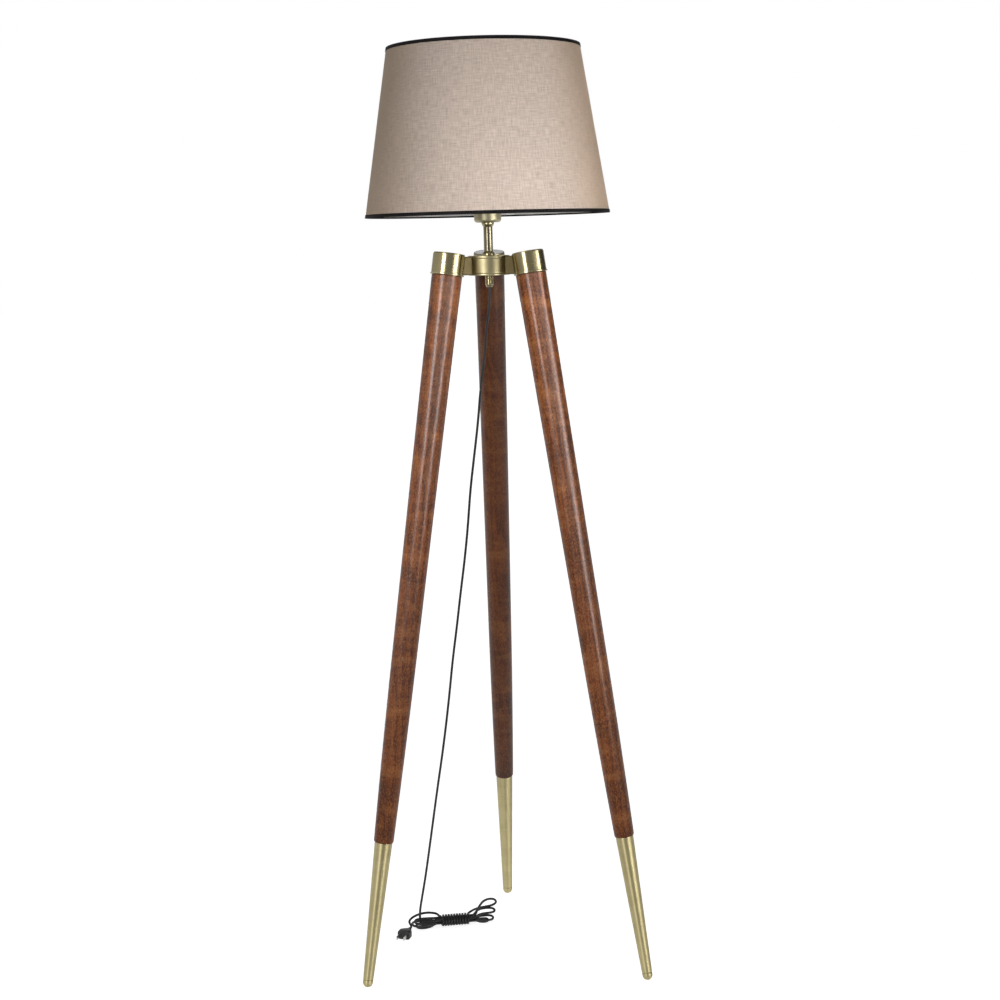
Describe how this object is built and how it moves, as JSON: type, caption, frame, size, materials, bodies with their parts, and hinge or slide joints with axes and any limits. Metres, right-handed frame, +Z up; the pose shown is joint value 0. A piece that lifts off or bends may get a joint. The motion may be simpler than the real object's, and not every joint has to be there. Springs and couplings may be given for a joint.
{
  "type": "tripod floor lamp",
  "caption": "Tripod floor lamp: tapered fabric shade on a short brass stem and hub, splayed turned wooden legs in brass collars and ferrules, and a cord with plug.",
  "frame": {"origin": "the point on the floor under the lamp's axis", "axes": "+Z up along the lamp's axis, +Y towards the rear leg, the front on -Y"},
  "size_m": [0.464, 0.4605, 1.4794],
  "materials": {
    "antique_brass": "antique satin",
    "stained_wood": "lacquered",
    "pale_metal": "satin",
    "bright_steel": "zinc plated",
    "linen": "woven, laminated",
    "dark_tape": "woven tape",
    "white_wire": "powder coated",
    "black_plastic": "moulded",
    "black_cord": "smooth sheath",
    "frosted_glass": "frosted"
  },
  "bodies": {
    "stand": {"hub_base_plate": "antique_brass", "hub_drum": "antique_brass", "hub_top_plate": "antique_brass", "lower_stem_nut": "antique_brass", "stem_sleeve": "antique_brass", "upper_stem_nut": "antique_brass", "cord_grip": "antique_brass", "holder_cup": "antique_brass", "screw_shell": "antique_brass", "centre_contact": "antique_brass", "lamp_pipe": "antique_brass", "hub_lock_nut": "bright_steel", "cup_lock_nut": "bright_steel", "grip_screw": "bright_steel", "plug_blades": "bright_steel", "inner_flex": "black_cord", "cord_drop": "black_cord", "cord_hank": "black_cord", "cord_tail": "black_cord", "plug_relief": "black_plastic", "plug_body": "black_plastic", "holder_body": "black_plastic", "leg_collar_left": "antique_brass", "collar_cap_left": "pale_metal", "collar_neck_left": "antique_brass", "neck_bolt_left": "bright_steel", "leg_collar_right": "antique_brass", "collar_cap_right": "pale_metal", "collar_neck_right": "antique_brass", "neck_bolt_right": "bright_steel", "leg_collar_rear": "antique_brass", "collar_cap_rear": "pale_metal", "collar_neck_rear": "antique_brass", "neck_bolt_rear": "bright_steel"},
    "shade": {"shade_skin": "linen", "shade_bottom_trim": "dark_tape", "shade_top_trim": "dark_tape", "shade_bottom_wire": "white_wire", "shade_top_wire": "white_wire", "fitter_ring": "white_wire", "spider_arm_left": "white_wire", "spider_arm_right": "white_wire", "spider_arm_rear": "white_wire"},
    "shade_ring": {"shade_ring_nut": "black_plastic"},
    "bulb": {"bulb_cap": "bright_steel", "bulb_glass": "frosted_glass"},
    "leg_left": {"leg_shaft_left": "stained_wood", "leg_stud_left": "bright_steel", "ferrule_left": "antique_brass", "foot_tip_left": "antique_brass"},
    "leg_right": {"leg_shaft_right": "stained_wood", "leg_stud_right": "bright_steel", "ferrule_right": "antique_brass", "foot_tip_right": "antique_brass"},
    "leg_rear": {"leg_shaft_rear": "stained_wood", "leg_stud_rear": "bright_steel", "ferrule_rear": "antique_brass", "foot_tip_rear": "antique_brass"}
  },
  "joints": [
    {"name": "leg_left_turn", "type": "hinge", "parent": "stand", "child": "leg_left", "pos_m": [-0.22473, -0.12975, 0], "axis": [0.1393, 0.0804, 0.987], "continuous": true},
    {"name": "leg_right_turn", "type": "hinge", "parent": "stand", "child": "leg_right", "pos_m": [0.22473, -0.12975, 0], "axis": [-0.1393, 0.0804, 0.987], "continuous": true},
    {"name": "leg_rear_turn", "type": "hinge", "parent": "stand", "child": "leg_rear", "pos_m": [0, 0.2595, 0], "axis": [0, -0.1608, 0.987], "continuous": true},
    {"name": "shade_turn", "type": "hinge", "parent": "stand", "child": "shade", "pos_m": [0, 0, 1.24323], "axis": [0, 0, 1], "continuous": true},
    {"name": "shade_ring_turn", "type": "hinge", "parent": "stand", "child": "shade_ring", "pos_m": [0, 0, 1.24523], "axis": [0, 0, 1], "continuous": true},
    {"name": "bulb_turn", "type": "hinge", "parent": "stand", "child": "bulb", "pos_m": [0, 0, 1.22958], "axis": [0, 0, 1], "continuous": true}
  ]
}
